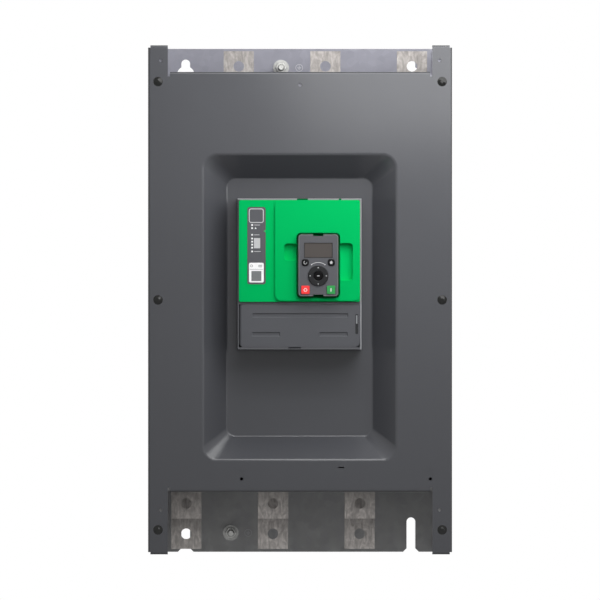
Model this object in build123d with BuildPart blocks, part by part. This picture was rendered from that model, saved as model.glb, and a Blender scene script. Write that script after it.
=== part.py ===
from build123d import *
from math import atan2, cos, radians, sin, sqrt, tan
import os

# A wall-mounted soft starter for large motors: a folded steel cabinet with a pressed
# dish in its cover, a green control module with a display terminal in the dish, and
# three phases of thyristors, heatsinks, fans, busbars and current transformers.
# Millimetres. The origin is the centre of the back plate's rear face, on the wall.
# +X is to the right, +Z is up, and the front looks along -Y. A depth is a distance
# from the wall towards the front.

# Cabinet
cabinet_width = 400.0
cabinet_height = 670.0
half_width = cabinet_width / 2
half_height = cabinet_height / 2
cover_face = 275.0
sheet = 2.0
bend = 3.0
slip = 0.3
match = 0.01

# Front cover
strip_width = 25.9
top_opening = 35.0
bottom_opening = 82.2
panel_top = half_height - top_opening
panel_bottom = bottom_opening - half_height
relief_width = 3.0
relief_length = 6.0
corner_notch = 3.0
side_lip = 40.0
end_lip = 20.0
cover_screw_x = half_width - 13.0
cover_screw_heights = (half_height - 47.7, 0.0, 32.3 - half_height)
strip_hole_x = half_width - 16.6
strip_hole_heights = (half_height - 19.7, 58.6 - half_height)
panel_hole_height = panel_top - 17.2
low_hole_height = panel_bottom + 17.2
low_hole_places = ((-77.1, low_hole_height), (half_width - 28.5, low_hole_height))
small_hole = 2.1
low_pad_width = 6.0
low_pad_height = 14.0
low_pad_rise = 4.5
low_pad_depth = 0.4
hook_slot_x = 54.0
hook_slot_height = panel_bottom + 32.2
hook_slot_length = 8.0
hook_slot_width = 1.6

# Dish pressed into the cover
dish_x = -0.5
dish_top = panel_top - 108.3
dish_bottom = panel_bottom + 42.1
dish_z = (dish_top + dish_bottom) / 2
dish_width = 254.4
dish_height = dish_top - dish_bottom
dish_run = 31.3
dish_depth = 32.0
dish_mouth_corner = 18.0
dish_floor_corner = 12.0
dish_lip_radius = 5.0
dish_floor_radius = 3.0
window_gap = 0.5

# Screws in the cover
screw_head = 6.3
screw_head_height = 3.4
screw_radius = 2.9
screw_length = 12.0
screw_fit = 0.1
cross_length = 8.0
cross_width = 1.7
cross_depth = 2.2

# Back plate
keyhole_pitch = cabinet_width - 100.0
keyhole_slot_z = half_height - 20.0
keyhole_slot_radius = 5.8
keyhole_entry_radius = 11.5
keyhole_drop = 14.4
foot_slot_z = 40.0 - half_height
foot_mouth = 4.7

# Side walls
front_return = 22.0
rear_return = 20.0

# Top and bottom walls
top_wall_z = panel_top - 26.0
bottom_wall_z = panel_bottom + 2.0
wall_rear_lip = 10.0
bottom_front_lip = 24.0
air_slot_length = 96.0
air_slot_width = 9.0
air_slot_pitch = 15.0
air_slot_count = 5

# Phases: the line bar is to the right of each phase and the load bar to its left
phase_pitch = 114.75
bar_offset = 34.75
bar_width = 40.0
bar_thickness = 6.0
bar_hole_radius = 7.0
bar_end_margin = 20.0
line_bar_top = half_height - 5.3
load_bar_bottom = 5.5 - half_height
bypass_bar_bottom = 46.0 - half_height
bypass_step = 40.0
bypass_joint_rise = 86.0
bypass_joint_length = 56.0
bypass_bend = 4.0
terminal_overlap = 22.0

# Heatsinks
heatsink_width = 106.0
heatsink_bottom = bottom_wall_z + 50.8
heatsink_top = top_wall_z - 54.0
heatsink_base = 14.0
fin_length = 74.0
fin_count = 12
fin_root = 3.2
fin_tip = 2.0

# Thyristor modules
module_z = (heatsink_bottom + heatsink_top) / 2 + 30.0
module_length = 112.0
module_width = 62.0
module_base = 4.0
module_case = 22.0
module_ridge = 6.0
module_pad = 18.0
module_pad_height = 4.0
module_inset = 2.0
ridge_width = 26.0
ridge_inset = 6.0

# Bolts in the bars
bolt_radius = 4.0
bolt_hole_gap = 0.5
bolt_flat = 13.0
bolt_head = 5.5
bolt_length = 8.0
bolt_end_gap = 3.0

# Current transformers
transformer_z = bottom_wall_z + 64.8
transformer_width = 62.0
transformer_height = 34.0
transformer_depth = 64.0
transformer_corner = 6.0
connector_width = 26.0
connector_height = 12.0
connector_depth = 5.0

# Bar supports
support_gap = 2.0
support_height = 16.0
support_margin = 13.0
support_corner = 4.0
bar_clearance = 4.0

# Fans
fan_size = 92.0
fan_height = 38.0
fan_duct_radius = 44.0
fan_flange = 4.0
fan_corner = 5.0
fan_screw_place = 41.25
fan_screw_radius = 2.2
motor_radius = 17.0
motor_height = 6.0
strut_width = 4.0
strut_angle = 45.0
spindle_radius = 2.0
spindle_fit = 0.06
rotor_gap = 0.8
hub_radius = 18.0
blade_tip = 43.0
blade_count = 7
blade_thickness = 1.6
blade_chord = 24.0
blade_root_angle = 42.0
blade_tip_angle = 62.0
guard_ring_pitch = 12.0
guard_ring_gap = 8.5
guard_ring_count = 3
guard_spoke = 4.0

# Earth studs
earth_places = ((-23.0, half_height - 25.0), (-90.0, 25.4 - half_height))
earth_stud_radius = 4.0
earth_stud_length = 28.0
earth_washer_radius = 10.5
earth_washer_thickness = 2.0
earth_nut_flat = 13.0
earth_nut_height = 6.5
earth_nut_chamfer = 0.7
earth_thread_gap = 0.08
earth_stud_chamfer = 1.0

# Mounting plate and power board
inner_plate_face = 207.0
inner_plate_flange = 20.0
inner_plate_rise = 146.25
inner_plate_drop = 163.75
cable_window_width = 60.0
cable_window_height = 40.0
power_board_width = 280.0
power_board_height = 150.0
power_board_rise = 61.25
board_thickness = 1.6
post_height = 10.0
post_radius = 4.0
post_inset = 10.0
gate_pitch = 91.8
gate_gap = 11.0
gate_transformer = (22.0, 26.0, 18.0)
gate_connector = (16.0, 8.0, 9.0)
supply_transformer = (44.0, 40.0, 32.0)

# Control module
module_rim_x = -0.85
module_rim_z = dish_top - 157.95
rim_width = 163.1
rim_height = 198.9
base_wall = 1.8
base_floor = 3.4
base_rear = 2.5
rim_face = 286.0
rim_bevel = 0.6
seam = 0.2
deck_z = module_rim_z - 36.55
deck_thickness = 3.0
deck_face = 285.4
terminal_deck_face = 244.5
bezel_face = 288.0
bezel_thickness = 3.0
skirt_depth = 8.0
skirt_thickness = 1.6
panel_face = 290.5
panel_left = -33.0
panel_corner = 8.5
panel_drop = 1.4
bezel_corner = 2.5
tabs = ((3.0, 14.0), (52.5, 3.0))
tab_reach = 2.0
lid_notch = (-7.4, 17.0, 1.7, 3.0)
exit_width = 110.0
exit_depth = 12.0
exit_margin = 5.0
boss_height = 12.0
boss_radius = 3.5
boss_inset = 9.0
control_board_gap = 1.8
chips = (
    (-40.0, 61.0, 22.0, 22.0, 2.5),
    (-45.0, 6.0, 30.0, 16.0, 12.0),
    (20.0, -14.0, 60.0, 9.0, 11.0),
    (30.0, 36.0, 26.0, 20.0, 4.0),
    (45.0, 74.0, 34.0, 12.0, 9.0),
)

# Display terminal in its pocket
pocket_x = 23.75
pocket_z = module_rim_z + 11.65
pocket_width = 57.5
pocket_height = 85.6
pocket_corner = 6.0
pocket_floor = 277.0
pocket_wall = 2.0
display_width = 54.1
display_height = 82.9
display_face = 298.2
display_corner = 5.0
display_bevel = 1.1
latch_width = 13.5
latch_reach = 3.0
left_grip = (-12.5, module_rim_z + 29.05, 17.0, 22.8)
right_grip = (60.0, module_rim_z + 16.25, 18.4, 49.4)
grip_depth = 8.0
grip_corner = 4.5
socket_size = 16.0
socket_height = 4.0

# Face of the display terminal
screen_x = 23.8
screen_z = module_rim_z + 31.25
screen_width = 37.6
screen_height = 20.0
screen_depth = 1.6
lens_thickness = 0.9
key_gap = 0.3
key_travel = 0.6
key_depth = 5.0
key_proud = 1.1
round_key_size = 9.2
round_key_corner = 3.4
round_key_edge = 0.9
escape_place = (6.6, module_rim_z + 15.25)
home_place = (40.8, module_rim_z + 15.25)
square_key_size = 11.0
square_key_corner = 1.4
square_key_edge = 0.5
stop_place = (6.8, module_rim_z - 20.75)
run_place = (40.4, module_rim_z - 20.65)
wheel_place = (23.6, module_rim_z - 2.25)
wheel_radius = 13.3
select_radius = 6.1
wheel_proud = 1.8
ring_edge = 0.9

# Status strip on the left of the bezel
strip_place = (-57.5, module_rim_z + 37.45)
strip_size = (24.0, 101.7)
strip_corner = 3.0
strip_recess = 0.6
strip_proud = 0.2

# Terminal cover
cover_plate = 2.5
lid_face = 286.0
hinge_radius = 4.0
hinge_pin = 1.4
hinge_pin_length = 2.2
hinge_fit = 0.08
hinge_hole = 2.5
lid_skirt = 10.0
lid_corner = 7.0
lid_corner_shift = 0.5
groove_width = 5.7
groove_depth = 1.2
groove_corner = 1.2
groove_bevel = 1.0
upper_groove = (0.0, module_rim_z - 54.25, 126.5)
lower_groove_z = module_rim_z - 79.05
lower_grooves = ((-45.0, lower_groove_z, 37.4), (43.8, lower_groove_z, 37.8))
latch_slot = (74.4, module_rim_z - 65.75, 3.7, 26.3)
latch_slot_corner = 1.5
latch_slot_depth = 1.6
latch_finger = (1.9, 11.0, 1.2)

# Control terminals
terminal_block_length = 68.0
terminal_block_height = 15.0
terminal_block_depth = 17.0
terminal_ways = 12
terminal_pitch = 5.08
terminal_block_z = module_rim_z - 63.75
terminal_block_gap = 6.0
wire_entry = 3.4
wire_depth = 7.0
screw_well_sides = 8

# Worked out from the sizes above
cover_back = cover_face - sheet
wall_outer = half_width - sheet - slip
wall_inner = wall_outer - sheet
wall_height = cabinet_height - 2 * (bend + slip)
strip_edge = half_width - strip_width
plate_face = sheet
phases = (-phase_pitch, 0.0, phase_pitch)
bypass_joint_z = transformer_z + bypass_joint_rise
support_length = 2 * (wall_inner - support_gap)
inner_plate_bottom = module_rim_z - inner_plate_drop
inner_plate_top = module_rim_z + inner_plate_rise
power_board_z = module_rim_z + power_board_rise
fan_depth = plate_face + bend + slip + fan_size / 2
sink_face = plate_face + fin_length + heatsink_base
pad_face = sink_face + module_base + module_case + module_ridge + module_pad_height
bar_back = pad_face
bar_face = bar_back + bar_thickness
bypass_back = bar_back + bypass_step
bypass_face = bypass_back + bar_thickness
line_bar_bottom = module_z - terminal_overlap
load_bar_top = module_z + terminal_overlap
bolt_hole = bolt_radius + bolt_hole_gap
rim_left = module_rim_x - rim_width / 2
rim_right = module_rim_x + rim_width / 2
rim_top = module_rim_z + rim_height / 2
rim_bottom = module_rim_z - rim_height / 2
inside_left = rim_left + base_wall
inside_right = rim_right - base_wall
inside_top = rim_top - base_wall
inside_bottom = rim_bottom + base_floor
hinge_x = inside_left + seam + hinge_radius
hinge_depth = lid_face - hinge_radius
keys_floor = display_face - key_depth


def front(depth):
    """The upright plane at a depth from the wall, looking towards the front."""
    return Plane.XZ.offset(depth)


def block(x, z, width, height, back, face, mode=Mode.ADD):
    """A square-edged block between two depths."""
    with BuildSketch(front(back)) as outline:
        with Locations((x, z)):
            Rectangle(width, height)
    extrude(outline.sketch, amount=face - back, mode=mode)


def rounded_block(x, z, width, height, corner, back, face, mode=Mode.ADD):
    """A block between two depths, with round corners seen from the front."""
    with BuildSketch(front(back)) as outline:
        with Locations((x, z)):
            RectangleRounded(width, height, corner)
    extrude(outline.sketch, amount=face - back, mode=mode)


def disc(places, radius, back, face, mode=Mode.ADD):
    """Round pins, or holes, between two depths, at each place."""
    with BuildSketch(front(back)) as outline:
        with Locations(*places):
            Circle(radius)
    extrude(outline.sketch, amount=face - back, mode=mode)


def hexagons(places, flat, back, face):
    """Six-sided heads or nuts between two depths, at each place."""
    with BuildSketch(front(back)) as outline:
        with Locations(*places):
            RegularPolygon(flat / 2, 6, major_radius=False)
    extrude(outline.sketch, amount=face - back)


def folded(plane, points, radii, thickness, length):
    """A strip of sheet folded along points, with its other face to their left."""
    with BuildSketch(plane) as section:
        with BuildLine():
            FilletPolyline(*points, radius=radii)
            offset(amount=thickness, side=Side.LEFT)
        make_face()
    extrude(section.sketch, amount=length)


def finish(piece, name):
    """Names a finished piece and writes it."""
    piece.part.label = name
    export_step(piece.part, "parts/" + name + ".step")


os.makedirs("parts", exist_ok=True)

# Back plate: keyholes at the top drop over two wall screws, and open slots at the
# bottom slide down behind two more
keyhole_places = ((-keyhole_pitch / 2, 0.0), (keyhole_pitch / 2, 0.0))
plate_low = -half_height
with BuildPart() as back_plate:
    with BuildSketch(Plane.XZ):
        Rectangle(2 * wall_outer, cabinet_height)
        for keyhole_x, level in keyhole_places:
            with Locations((keyhole_x, keyhole_slot_z)):
                Circle(keyhole_slot_radius, mode=Mode.SUBTRACT)
            with Locations((keyhole_x, keyhole_slot_z - keyhole_drop / 2)):
                Rectangle(2 * keyhole_slot_radius, keyhole_drop, mode=Mode.SUBTRACT)
            with Locations((keyhole_x, keyhole_slot_z - keyhole_drop)):
                Circle(keyhole_entry_radius, mode=Mode.SUBTRACT)
            with Locations((keyhole_x, foot_slot_z)):
                Circle(keyhole_slot_radius, mode=Mode.SUBTRACT)
            with Locations((keyhole_x, (foot_slot_z + plate_low) / 2)):
                Rectangle(
                    2 * keyhole_slot_radius, foot_slot_z - plate_low, mode=Mode.SUBTRACT
                )
            with Locations((keyhole_x, plate_low)):
                Polygon(
                    (-keyhole_slot_radius - foot_mouth, 0),
                    (keyhole_slot_radius + foot_mouth, 0),
                    (keyhole_slot_radius, foot_mouth),
                    (-keyhole_slot_radius, foot_mouth),
                    align=None,
                    mode=Mode.SUBTRACT,
                )
    extrude(amount=sheet)
finish(back_plate, "back_plate")

# Side walls: channels folded from one sheet each, whose front returns take the screws
cover_screw_places = [
    (side * cover_screw_x, height) for side in (-1, 1) for height in cover_screw_heights
]
with BuildPart() as side_wall_right:
    folded(
        Plane.XY.offset(-wall_height / 2),
        [
            (wall_outer - front_return, -cover_back),
            (wall_outer, -cover_back),
            (wall_outer, -plate_face),
            (wall_outer - rear_return, -plate_face),
        ],
        bend,
        sheet,
        wall_height,
    )
    disc(
        cover_screw_places,
        screw_radius + screw_fit,
        cover_back - 2 * sheet,
        cover_back,
        Mode.SUBTRACT,
    )
with BuildPart() as side_wall_left:
    add(mirror(side_wall_right.part, about=Plane.YZ, mode=Mode.PRIVATE))
finish(side_wall_right, "side_wall_right")
finish(side_wall_left, "side_wall_left")


def cross_wall(level, front_lip):
    """A wall across the cabinet at a level, with lips up at its front and rear."""
    folded(
        Plane.YZ.offset(-wall_inner),
        [
            (-cover_back, level + front_lip),
            (-cover_back, level),
            (-plate_face, level),
            (-plate_face, level + wall_rear_lip),
        ],
        bend,
        sheet,
        2 * wall_inner,
    )
    corner_height = max(front_lip, wall_rear_lip) + sheet
    for side in (-1, 1):
        front_edge = wall_outer - front_return - slip
        rear_edge = wall_outer - rear_return - slip
        block(
            side * (front_edge + wall_inner) / 2,
            level + corner_height / 2,
            wall_inner - front_edge,
            corner_height,
            cover_back - sheet - bend,
            cover_back,
            Mode.SUBTRACT,
        )
        block(
            side * (rear_edge + wall_inner) / 2,
            level + corner_height / 2,
            wall_inner - rear_edge,
            corner_height,
            plate_face,
            plate_face + sheet + bend,
            Mode.SUBTRACT,
        )


# Top wall: slots let the warm air out, and the line bars pass through
line_bar_xs = [phase + bar_offset for phase in phases]
load_bar_xs = [phase - bar_offset for phase in phases]
bar_window = bar_width + 2 * bar_clearance
with BuildPart() as top_wall:
    cross_wall(top_wall_z, panel_top - bend - slip - top_wall_z)
    with BuildSketch(Plane.XY.offset(top_wall_z)) as openings:
        with Locations((0, -fan_depth)):
            with GridLocations(phase_pitch, air_slot_pitch, 3, air_slot_count):
                SlotOverall(air_slot_length, air_slot_width)
        for bar_x in line_bar_xs:
            with Locations((bar_x, -(bar_back + bar_face) / 2)):
                Rectangle(bar_window, bar_thickness + 2 * bar_clearance)
    extrude(openings.sketch, amount=sheet, mode=Mode.SUBTRACT)
finish(top_wall, "top_wall")

# Bottom wall: ring slots guard the fans, and the load and bypass bars pass through
guard_rings = [
    fan_duct_radius - guard_ring_gap / 2 - guard_ring_pitch * ring
    for ring in range(guard_ring_count)
]
with BuildPart() as bottom_wall:
    cross_wall(bottom_wall_z, bottom_front_lip)
    with BuildSketch(Plane.XY.offset(bottom_wall_z)) as openings:
        for phase in phases:
            for ring_radius in guard_rings:
                with Locations((phase, -fan_depth)):
                    Circle(ring_radius + guard_ring_gap / 2)
                    Circle(ring_radius - guard_ring_gap / 2, mode=Mode.SUBTRACT)
            with Locations((phase, -fan_depth)):
                Rectangle(2 * fan_duct_radius, guard_spoke, strut_angle, mode=Mode.SUBTRACT)
                Rectangle(2 * fan_duct_radius, guard_spoke, -strut_angle, mode=Mode.SUBTRACT)
        for bar_x in load_bar_xs:
            with Locations((bar_x, -(bar_back + bypass_face) / 2)):
                Rectangle(bar_window, bypass_face - bar_back + 2 * bar_clearance)
    extrude(openings.sketch, amount=sheet, mode=Mode.SUBTRACT)
    disc(low_hole_places, small_hole, cover_back - sheet, cover_back, Mode.SUBTRACT)
finish(bottom_wall, "bottom_wall")

# Front cover: one sheet with a pressed dish, folded lips, bend reliefs and a window
wall_slope = atan2(dish_depth, dish_run)
back_shift = sheet * tan(wall_slope / 2)


def dish_sketches(depth, growth):
    """The mouth and the floor of the dish, each as a sketch on its own plane."""
    with BuildSketch(front(depth)) as mouth:
        with Locations((dish_x, dish_z)):
            RectangleRounded(
                dish_width + 2 * growth,
                dish_height + 2 * growth,
                dish_mouth_corner + growth,
            )
    with BuildSketch(front(depth - dish_depth)) as floor:
        with Locations((dish_x, dish_z)):
            RectangleRounded(
                dish_width - 2 * dish_run + 2 * growth,
                dish_height - 2 * dish_run + 2 * growth,
                dish_floor_corner + growth,
            )
    return [mouth.sketch, floor.sketch]


def rim_edges(part, depth):
    """The edges round the dish's mouth that lie at one depth."""
    return [
        edge
        for edge in part.edges()
        if abs(edge.bounding_box().min.Y + depth) < match
        and abs(edge.bounding_box().max.Y + depth) < match
        and abs(edge.center().X - dish_x) < dish_width / 2 + sheet
        and abs(edge.center().Z - dish_z) < dish_height / 2 + sheet
    ]


def fold_edges(part, depth, width, levels):
    """The edges at one depth that the cover's lips fold along."""
    return [
        edge
        for edge in part.edges()
        if abs(edge.bounding_box().min.Y + depth) < match
        and abs(edge.bounding_box().max.Y + depth) < match
        and (
            abs(abs(edge.center().X) - width) < match
            or min(abs(edge.center().Z - level) for level in levels) < match
        )
    ]


outer_levels = (half_height, -half_height, panel_top, panel_bottom)
inner_levels = (
    half_height - sheet,
    sheet - half_height,
    panel_top - sheet,
    panel_bottom + sheet,
)
lip_width = strip_edge - relief_width
with BuildPart() as front_cover:
    block(0, 0, cabinet_width, cabinet_height, cover_back, cover_face)
    loft(dish_sketches(cover_back, back_shift), ruled=True)
    fillet(rim_edges(front_cover.part, cover_back), dish_lip_radius - sheet)
    pressed_floor = front_cover.faces().sort_by(Axis.Y)[-1]
    fillet(pressed_floor.edges(), dish_floor_radius + sheet)
    loft(dish_sketches(cover_face, 0), ruled=True, mode=Mode.SUBTRACT)
    dish_floor = (
        front_cover.faces()
        .filter_by(Axis.Y)
        .filter_by_position(
            Axis.Y, dish_depth - cover_face - match, dish_depth - cover_face + match
        )[0]
    )
    fillet(dish_floor.edges(), dish_floor_radius)
    fillet(rim_edges(front_cover.part, cover_face), dish_lip_radius)
    block(
        0,
        (panel_top + half_height) / 2,
        2 * strip_edge,
        half_height - panel_top,
        cover_back,
        cover_face,
        Mode.SUBTRACT,
    )
    block(
        0,
        (panel_bottom - half_height) / 2,
        2 * strip_edge,
        half_height + panel_bottom,
        cover_back,
        cover_face,
        Mode.SUBTRACT,
    )
    for side in (-1, 1):
        block(
            side * (half_width - sheet / 2),
            0,
            sheet,
            cabinet_height - 2 * corner_notch,
            cover_face - side_lip,
            cover_face,
        )
        for level, inward in ((half_height, -1), (-half_height, 1)):
            block(
                side * (half_width - corner_notch + strip_edge) / 2,
                level + inward * sheet / 2,
                half_width - corner_notch - strip_edge,
                sheet,
                cover_face - end_lip,
                cover_face,
            )
            block(
                side * (half_width - corner_notch / 2),
                level + inward * corner_notch / 2,
                corner_notch,
                corner_notch,
                cover_back - end_lip,
                cover_face,
                Mode.SUBTRACT,
            )
    for level, inward in ((panel_top, -1), (panel_bottom, 1)):
        block(
            0,
            level + inward * sheet / 2,
            2 * lip_width,
            sheet,
            cover_face - end_lip,
            cover_face,
        )
        for side in (-1, 1):
            block(
                side * (strip_edge - relief_width / 2),
                level + inward * relief_length / 2,
                relief_width,
                relief_length,
                cover_back,
                cover_face,
                Mode.SUBTRACT,
            )
    fillet(fold_edges(front_cover.part, cover_face, half_width, outer_levels), bend)
    fillet(
        fold_edges(front_cover.part, cover_back, half_width - sheet, inner_levels),
        bend - sheet,
    )
    block(
        module_rim_x,
        module_rim_z,
        rim_width + 2 * window_gap,
        rim_height + 2 * window_gap,
        cover_back - dish_depth,
        cover_face,
        Mode.SUBTRACT,
    )
    disc(
        cover_screw_places,
        screw_radius + 2 * screw_fit,
        cover_back,
        cover_face,
        Mode.SUBTRACT,
    )
    small_places = [(0, panel_hole_height), *low_hole_places]
    for side in (-1, 1):
        for height in strip_hole_heights:
            small_places.append((side * strip_hole_x, height))
    disc(small_places, small_hole, cover_back, cover_face, Mode.SUBTRACT)
    for pad_x, pad_z in low_hole_places:
        block(
            pad_x,
            pad_z + low_pad_rise,
            low_pad_width,
            low_pad_height,
            cover_face - low_pad_depth,
            cover_face,
            Mode.SUBTRACT,
        )
    with BuildSketch(front(cover_back)) as hook:
        with Locations((hook_slot_x, hook_slot_height)):
            SlotOverall(hook_slot_length, hook_slot_width)
    extrude(hook.sketch, amount=sheet, mode=Mode.SUBTRACT)
finish(front_cover, "front_cover")

# Cover screws: domed black heads with a cross recess
dome_radius = (screw_head**2 + screw_head_height**2) / (2 * screw_head_height)
with BuildPart() as cover_screws:
    for screw_x, screw_z in cover_screw_places:
        screw_axis = Plane(
            origin=(screw_x, -cover_face, screw_z), x_dir=(1, 0, 0), z_dir=(0, 0, 1)
        )
        with BuildSketch(screw_axis) as profile:
            with BuildLine():
                Polyline(
                    (0, -screw_head_height),
                    (0, screw_length),
                    (screw_radius, screw_length),
                    (screw_radius, 0),
                    (screw_head, 0),
                )
                RadiusArc((0, -screw_head_height), (screw_head, 0), dome_radius)
            make_face()
        revolve(
            profile.sketch,
            axis=Axis((screw_x, -cover_face, screw_z), (0, 1, 0)),
        )
        recess_back = cover_face + screw_head_height - cross_depth
        recess_face = cover_face + screw_head_height
        block(
            screw_x, screw_z, cross_length, cross_width, recess_back, recess_face, Mode.SUBTRACT
        )
        block(
            screw_x, screw_z, cross_width, cross_length, recess_back, recess_face, Mode.SUBTRACT
        )
finish(cover_screws, "cover_screws")

# Heatsinks: extrusions whose fins stand on the back plate
fin_pitch = (heatsink_width - fin_root) / (fin_count - 1)
for number, phase in enumerate(phases, 1):
    with BuildPart() as heatsink:
        with BuildSketch(Plane.XY.offset(heatsink_bottom)):
            with Locations((phase, -sink_face + heatsink_base / 2)):
                Rectangle(heatsink_width, heatsink_base)
            with Locations((phase, -plate_face - fin_length)):
                with GridLocations(fin_pitch, 0, fin_count, 1):
                    Polygon(
                        (-fin_root / 2, 0),
                        (fin_root / 2, 0),
                        (fin_tip / 2, fin_length),
                        (-fin_tip / 2, fin_length),
                        align=None,
                    )
        extrude(amount=heatsink_top - heatsink_bottom)
    finish(heatsink, "heatsink_" + str(number))

# Thyristor modules: a metal base, a stepped case and three terminals
case_face = sink_face + module_base + module_case
ridge_face = case_face + module_ridge
for number, phase in enumerate(phases, 1):
    pads = [(phase + bar_offset * step, module_z) for step in (-1, 0, 1)]
    with BuildPart() as thyristor:
        block(
            phase, module_z, module_length, module_width, sink_face, sink_face + module_base
        )
        rounded_block(
            phase,
            module_z,
            module_length - 2 * module_inset,
            module_width - 2 * module_inset,
            module_inset,
            sink_face + module_base,
            case_face,
        )
        block(
            phase,
            module_z,
            module_length - 2 * ridge_inset,
            ridge_width,
            case_face,
            ridge_face,
        )
        for pad_x, pad_z in pads:
            block(pad_x, pad_z, module_pad, module_pad, ridge_face, pad_face)
        disc(pads, bolt_radius + screw_fit, pad_face - bolt_length, pad_face, Mode.SUBTRACT)
    finish(thyristor, "thyristor_module_" + str(number))

# Line, load and bypass bars
joint_top = bypass_joint_z + bypass_joint_length / 2
joint_bottom = bypass_joint_z - bypass_joint_length / 2
joint_bolt_step = bypass_joint_length / 4
shelf_z = joint_bottom - bypass_bend - bar_thickness
for number in range(3):
    line_x = line_bar_xs[number]
    load_x = load_bar_xs[number]
    joint_places = [
        (load_x, bypass_joint_z + joint_bolt_step),
        (load_x, bypass_joint_z - joint_bolt_step),
    ]
    with BuildPart() as line_bar:
        block(
            line_x,
            (line_bar_bottom + line_bar_top) / 2,
            bar_width,
            line_bar_top - line_bar_bottom,
            bar_back,
            bar_face,
        )
        disc(
            [(line_x, line_bar_top - bar_end_margin)],
            bar_hole_radius,
            bar_back,
            bar_face,
            Mode.SUBTRACT,
        )
        disc([(line_x, module_z)], bolt_hole, bar_back, bar_face, Mode.SUBTRACT)
    finish(line_bar, "line_bar_" + str(number + 1))
    with BuildPart() as load_bar:
        block(
            load_x,
            (load_bar_bottom + load_bar_top) / 2,
            bar_width,
            load_bar_top - load_bar_bottom,
            bar_back,
            bar_face,
        )
        disc(
            [(load_x, load_bar_bottom + bar_end_margin)],
            bar_hole_radius,
            bar_back,
            bar_face,
            Mode.SUBTRACT,
        )
        disc(
            [(load_x, module_z), *joint_places], bolt_hole, bar_back, bar_face, Mode.SUBTRACT
        )
    finish(load_bar, "load_bar_" + str(number + 1))
    with BuildPart() as bypass_bar:
        folded(
            Plane.YZ.offset(load_x - bar_width / 2),
            [
                (-bypass_back, bypass_bar_bottom),
                (-bypass_back, shelf_z),
                (-bar_face, shelf_z),
                (-bar_face, joint_top),
            ],
            [bypass_bend, bypass_bend + bar_thickness],
            bar_thickness,
            bar_width,
        )
        disc(
            [(load_x, bypass_bar_bottom + bar_end_margin)],
            bar_hole_radius,
            bypass_back,
            bypass_face,
            Mode.SUBTRACT,
        )
        disc(joint_places, bolt_hole, bar_face, bar_face + bar_thickness, Mode.SUBTRACT)
    finish(bypass_bar, "bypass_bar_" + str(number + 1))

# Bolts: one at each module terminal in use, and two in each joint of the bars
module_bolts = [(bar_x, module_z) for bar_x in line_bar_xs + load_bar_xs]
joint_bolts = [
    (load_x, bypass_joint_z + side * joint_bolt_step)
    for load_x in load_bar_xs
    for side in (-1, 1)
]
with BuildPart() as bar_bolts:
    disc(module_bolts, bolt_radius, pad_face - bolt_length + bolt_end_gap, bar_face)
    hexagons(module_bolts, bolt_flat, bar_face, bar_face + bolt_head)
    joint_face = bar_face + bar_thickness
    disc(joint_bolts, bolt_radius, bar_back - bolt_head, joint_face)
    hexagons(joint_bolts, bolt_flat, joint_face, joint_face + bolt_head)
    hexagons(joint_bolts, bolt_flat, bar_back - bolt_head, bar_back)
finish(bar_bolts, "bar_bolts")


def bar_slots(places, depth, low, high):
    """Slots along Z that hold bars with a small gap."""
    with BuildSketch(Plane.XY.offset(low)) as slots:
        for bar_x in places:
            with Locations((bar_x, -depth)):
                Rectangle(bar_width + 2 * slip, bar_thickness + 2 * slip)
    extrude(slots.sketch, amount=high - low, mode=Mode.SUBTRACT)


def support(level, back, face):
    """A moulded insulating bar support standing on a wall at a level."""
    with BuildSketch(Plane.XY.offset(level)) as outline:
        with Locations((0, -(back + face) / 2)):
            RectangleRounded(support_length, face - back, support_corner)
    extrude(outline.sketch, amount=support_height)


# Bar supports on the top and bottom walls
with BuildPart() as upper_bar_support:
    level = top_wall_z + sheet
    support(level, bar_back - support_margin, bar_face + support_margin)
    bar_slots(line_bar_xs, (bar_back + bar_face) / 2, level, level + support_height)
finish(upper_bar_support, "upper_bar_support")
with BuildPart() as lower_bar_support:
    level = bottom_wall_z + sheet
    support(level, bar_back - support_margin, bypass_face + support_margin)
    bar_slots(load_bar_xs, (bar_back + bar_face) / 2, level, level + support_height)
    bar_slots(load_bar_xs, (bypass_back + bypass_face) / 2, level, level + support_height)
finish(lower_bar_support, "lower_bar_support")

# Current transformers: moulded rings round the load bars
for number, load_x in enumerate(load_bar_xs, 1):
    bar_middle = (bar_back + bar_face) / 2
    low = transformer_z - transformer_height / 2
    with BuildPart() as transformer:
        with BuildSketch(Plane.XY.offset(low)):
            with Locations((load_x, -bar_middle)):
                RectangleRounded(transformer_width, transformer_depth, transformer_corner)
        extrude(amount=transformer_height)
        block(
            load_x,
            transformer_z,
            connector_width,
            connector_height,
            bar_middle + transformer_depth / 2,
            bar_middle + transformer_depth / 2 + connector_depth,
        )
        bar_slots([load_x], bar_middle, low, low + transformer_height)
    finish(transformer, "current_transformer_" + str(number))

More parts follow.
